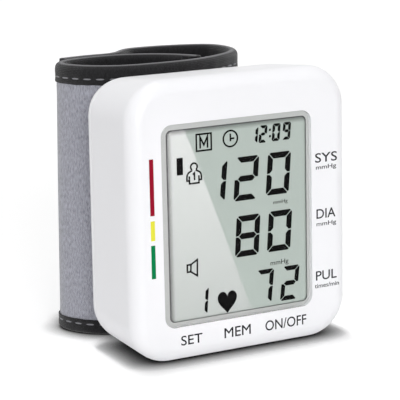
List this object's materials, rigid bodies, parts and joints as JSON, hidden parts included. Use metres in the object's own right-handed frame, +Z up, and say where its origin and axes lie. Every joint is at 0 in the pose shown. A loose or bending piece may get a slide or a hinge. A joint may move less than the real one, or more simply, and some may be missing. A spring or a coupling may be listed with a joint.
{
  "type": "wrist blood pressure monitor",
  "caption": "Upright wrist blood pressure monitor: white display unit with keys on its lower edge and a battery door, fixed to a preformed fabric cuff that opens at a hook-and-loop flap.",
  "frame": {"origin": "middle of the footprint's box on the surface that the unit stands on", "axes": "-Y is the display side, +Y the cuff side, +X the battery door side seen from the front, +Z up"},
  "size_m": [0.065, 0.0652, 0.0742],
  "materials": {
    "white_case": "glossy moulded white",
    "clear_lens": "clear flat window",
    "lens_mask": "light grey print",
    "lcd": "grey-green reflective panel",
    "lcd_ink": "dark display segments",
    "print": "dark grey print",
    "level_bars": "red, yellow and green print",
    "grey_plastic": "satin grey moulding",
    "key": "satin grey key",
    "rubber": "matt black rubber",
    "silicone": "milky silicone",
    "circuit_board": "green solder mask",
    "black_component": "black moulded component",
    "steel": "plated steel",
    "cell_can": "film on a metal can",
    "grey_fabric": "heather grey woven loop fabric",
    "black_lining": "black knitted lining",
    "black_binding": "black woven tape",
    "stitching": "grey thread",
    "hook_tape": "black moulded hooks"
  },
  "bodies": {
    "case": {"front_case": "white_case", "rear_case": "white_case", "case_screw_1": "steel", "case_screw_2": "steel", "case_screw_3": "steel", "case_screw_4": "steel", "display_lens": "clear_lens", "display_mask": "lens_mask", "lcd_panel": "lcd", "lcd_frame": "grey_plastic", "contact_strip": "rubber", "main_board": "circuit_board", "processor_chip": "black_component", "pressure_sensor": "black_component", "speaker": "black_component", "set_switch": "black_component", "memory_switch": "black_component", "power_switch": "black_component", "pump_motor": "steel", "pump_head": "grey_plastic", "exhaust_valve": "steel", "air_manifold": "silicone", "cuff_nozzle": "grey_plastic", "battery_tray": "white_case", "front_cell": "cell_can", "rear_cell": "cell_can", "front_spring": "steel", "rear_spring": "steel", "negative_contact": "steel", "positive_contact": "steel", "bridge_contact": "steel", "cuff_saddle": "white_case", "cuff_fabric": "grey_fabric", "cuff_core": "grey_plastic", "cuff_bladder": "rubber", "cuff_lining": "black_lining", "cuff_binding_top": "black_binding", "cuff_binding_bottom": "black_binding"},
    "set_key": {"set_button": "key", "set_plunger": "silicone"},
    "memory_key": {"memory_button": "key", "memory_plunger": "silicone"},
    "power_key": {"power_button": "key", "power_plunger": "silicone"},
    "battery_cover": {"battery_door": "white_case"},
    "pump_drive": {"pump_crank": "steel"},
    "valve_core": {"valve_armature": "steel"},
    "cuff_flap": {"flap_fabric": "grey_fabric", "flap_lining": "black_lining", "flap_binding_top": "black_binding", "flap_binding_bottom": "black_binding", "flap_binding_end": "black_binding", "hook_patch": "hook_tape"},
    "cuff_tail": {"tail_fabric": "grey_fabric", "tail_lining": "black_lining", "tail_binding_top": "black_binding", "tail_binding_bottom": "black_binding", "tail_binding_end": "black_binding"}
  },
  "joints": [
    {"name": "set_press", "type": "slide", "parent": "case", "child": "set_key", "axis": [0, 0, 1], "range_m": [0, 0.0006], "stiffness_N_per_m": 1500},
    {"name": "memory_press", "type": "slide", "parent": "case", "child": "memory_key", "axis": [0, 0, 1], "range_m": [0, 0.0006], "stiffness_N_per_m": 1500},
    {"name": "power_press", "type": "slide", "parent": "case", "child": "power_key", "axis": [0, 0, 1], "range_m": [0, 0.0006], "stiffness_N_per_m": 1500},
    {"name": "door_hinge", "type": "hinge", "parent": "case", "child": "battery_cover", "pos_m": [0.0326, -0.0184, 0.01182], "axis": [0, 1, 0], "range_deg": [0, 70]},
    {"name": "pump_turn", "type": "hinge", "parent": "case", "child": "pump_drive", "pos_m": [-0.021, -0.01617, 0.028], "axis": [0, 0, 1], "continuous": true},
    {"name": "valve_lift", "type": "slide", "parent": "case", "child": "valve_core", "axis": [0, 0, 1], "range_m": [0, 0.0006], "stiffness_N_per_m": 200},
    {"name": "flap_open", "type": "hinge", "parent": "case", "child": "cuff_flap", "pos_m": [0.0249, 0.01707, 0.037], "axis": [0, 0, -1], "range_deg": [0, 100], "stiffness_Nm_per_rad": 0.02},
    {"name": "tail_flex", "type": "hinge", "parent": "case", "child": "cuff_tail", "pos_m": [-0.00766, 0.02137, 0.037], "axis": [0, 0, 1], "range_deg": [0, 25], "stiffness_Nm_per_rad": 0.02}
  ]
}
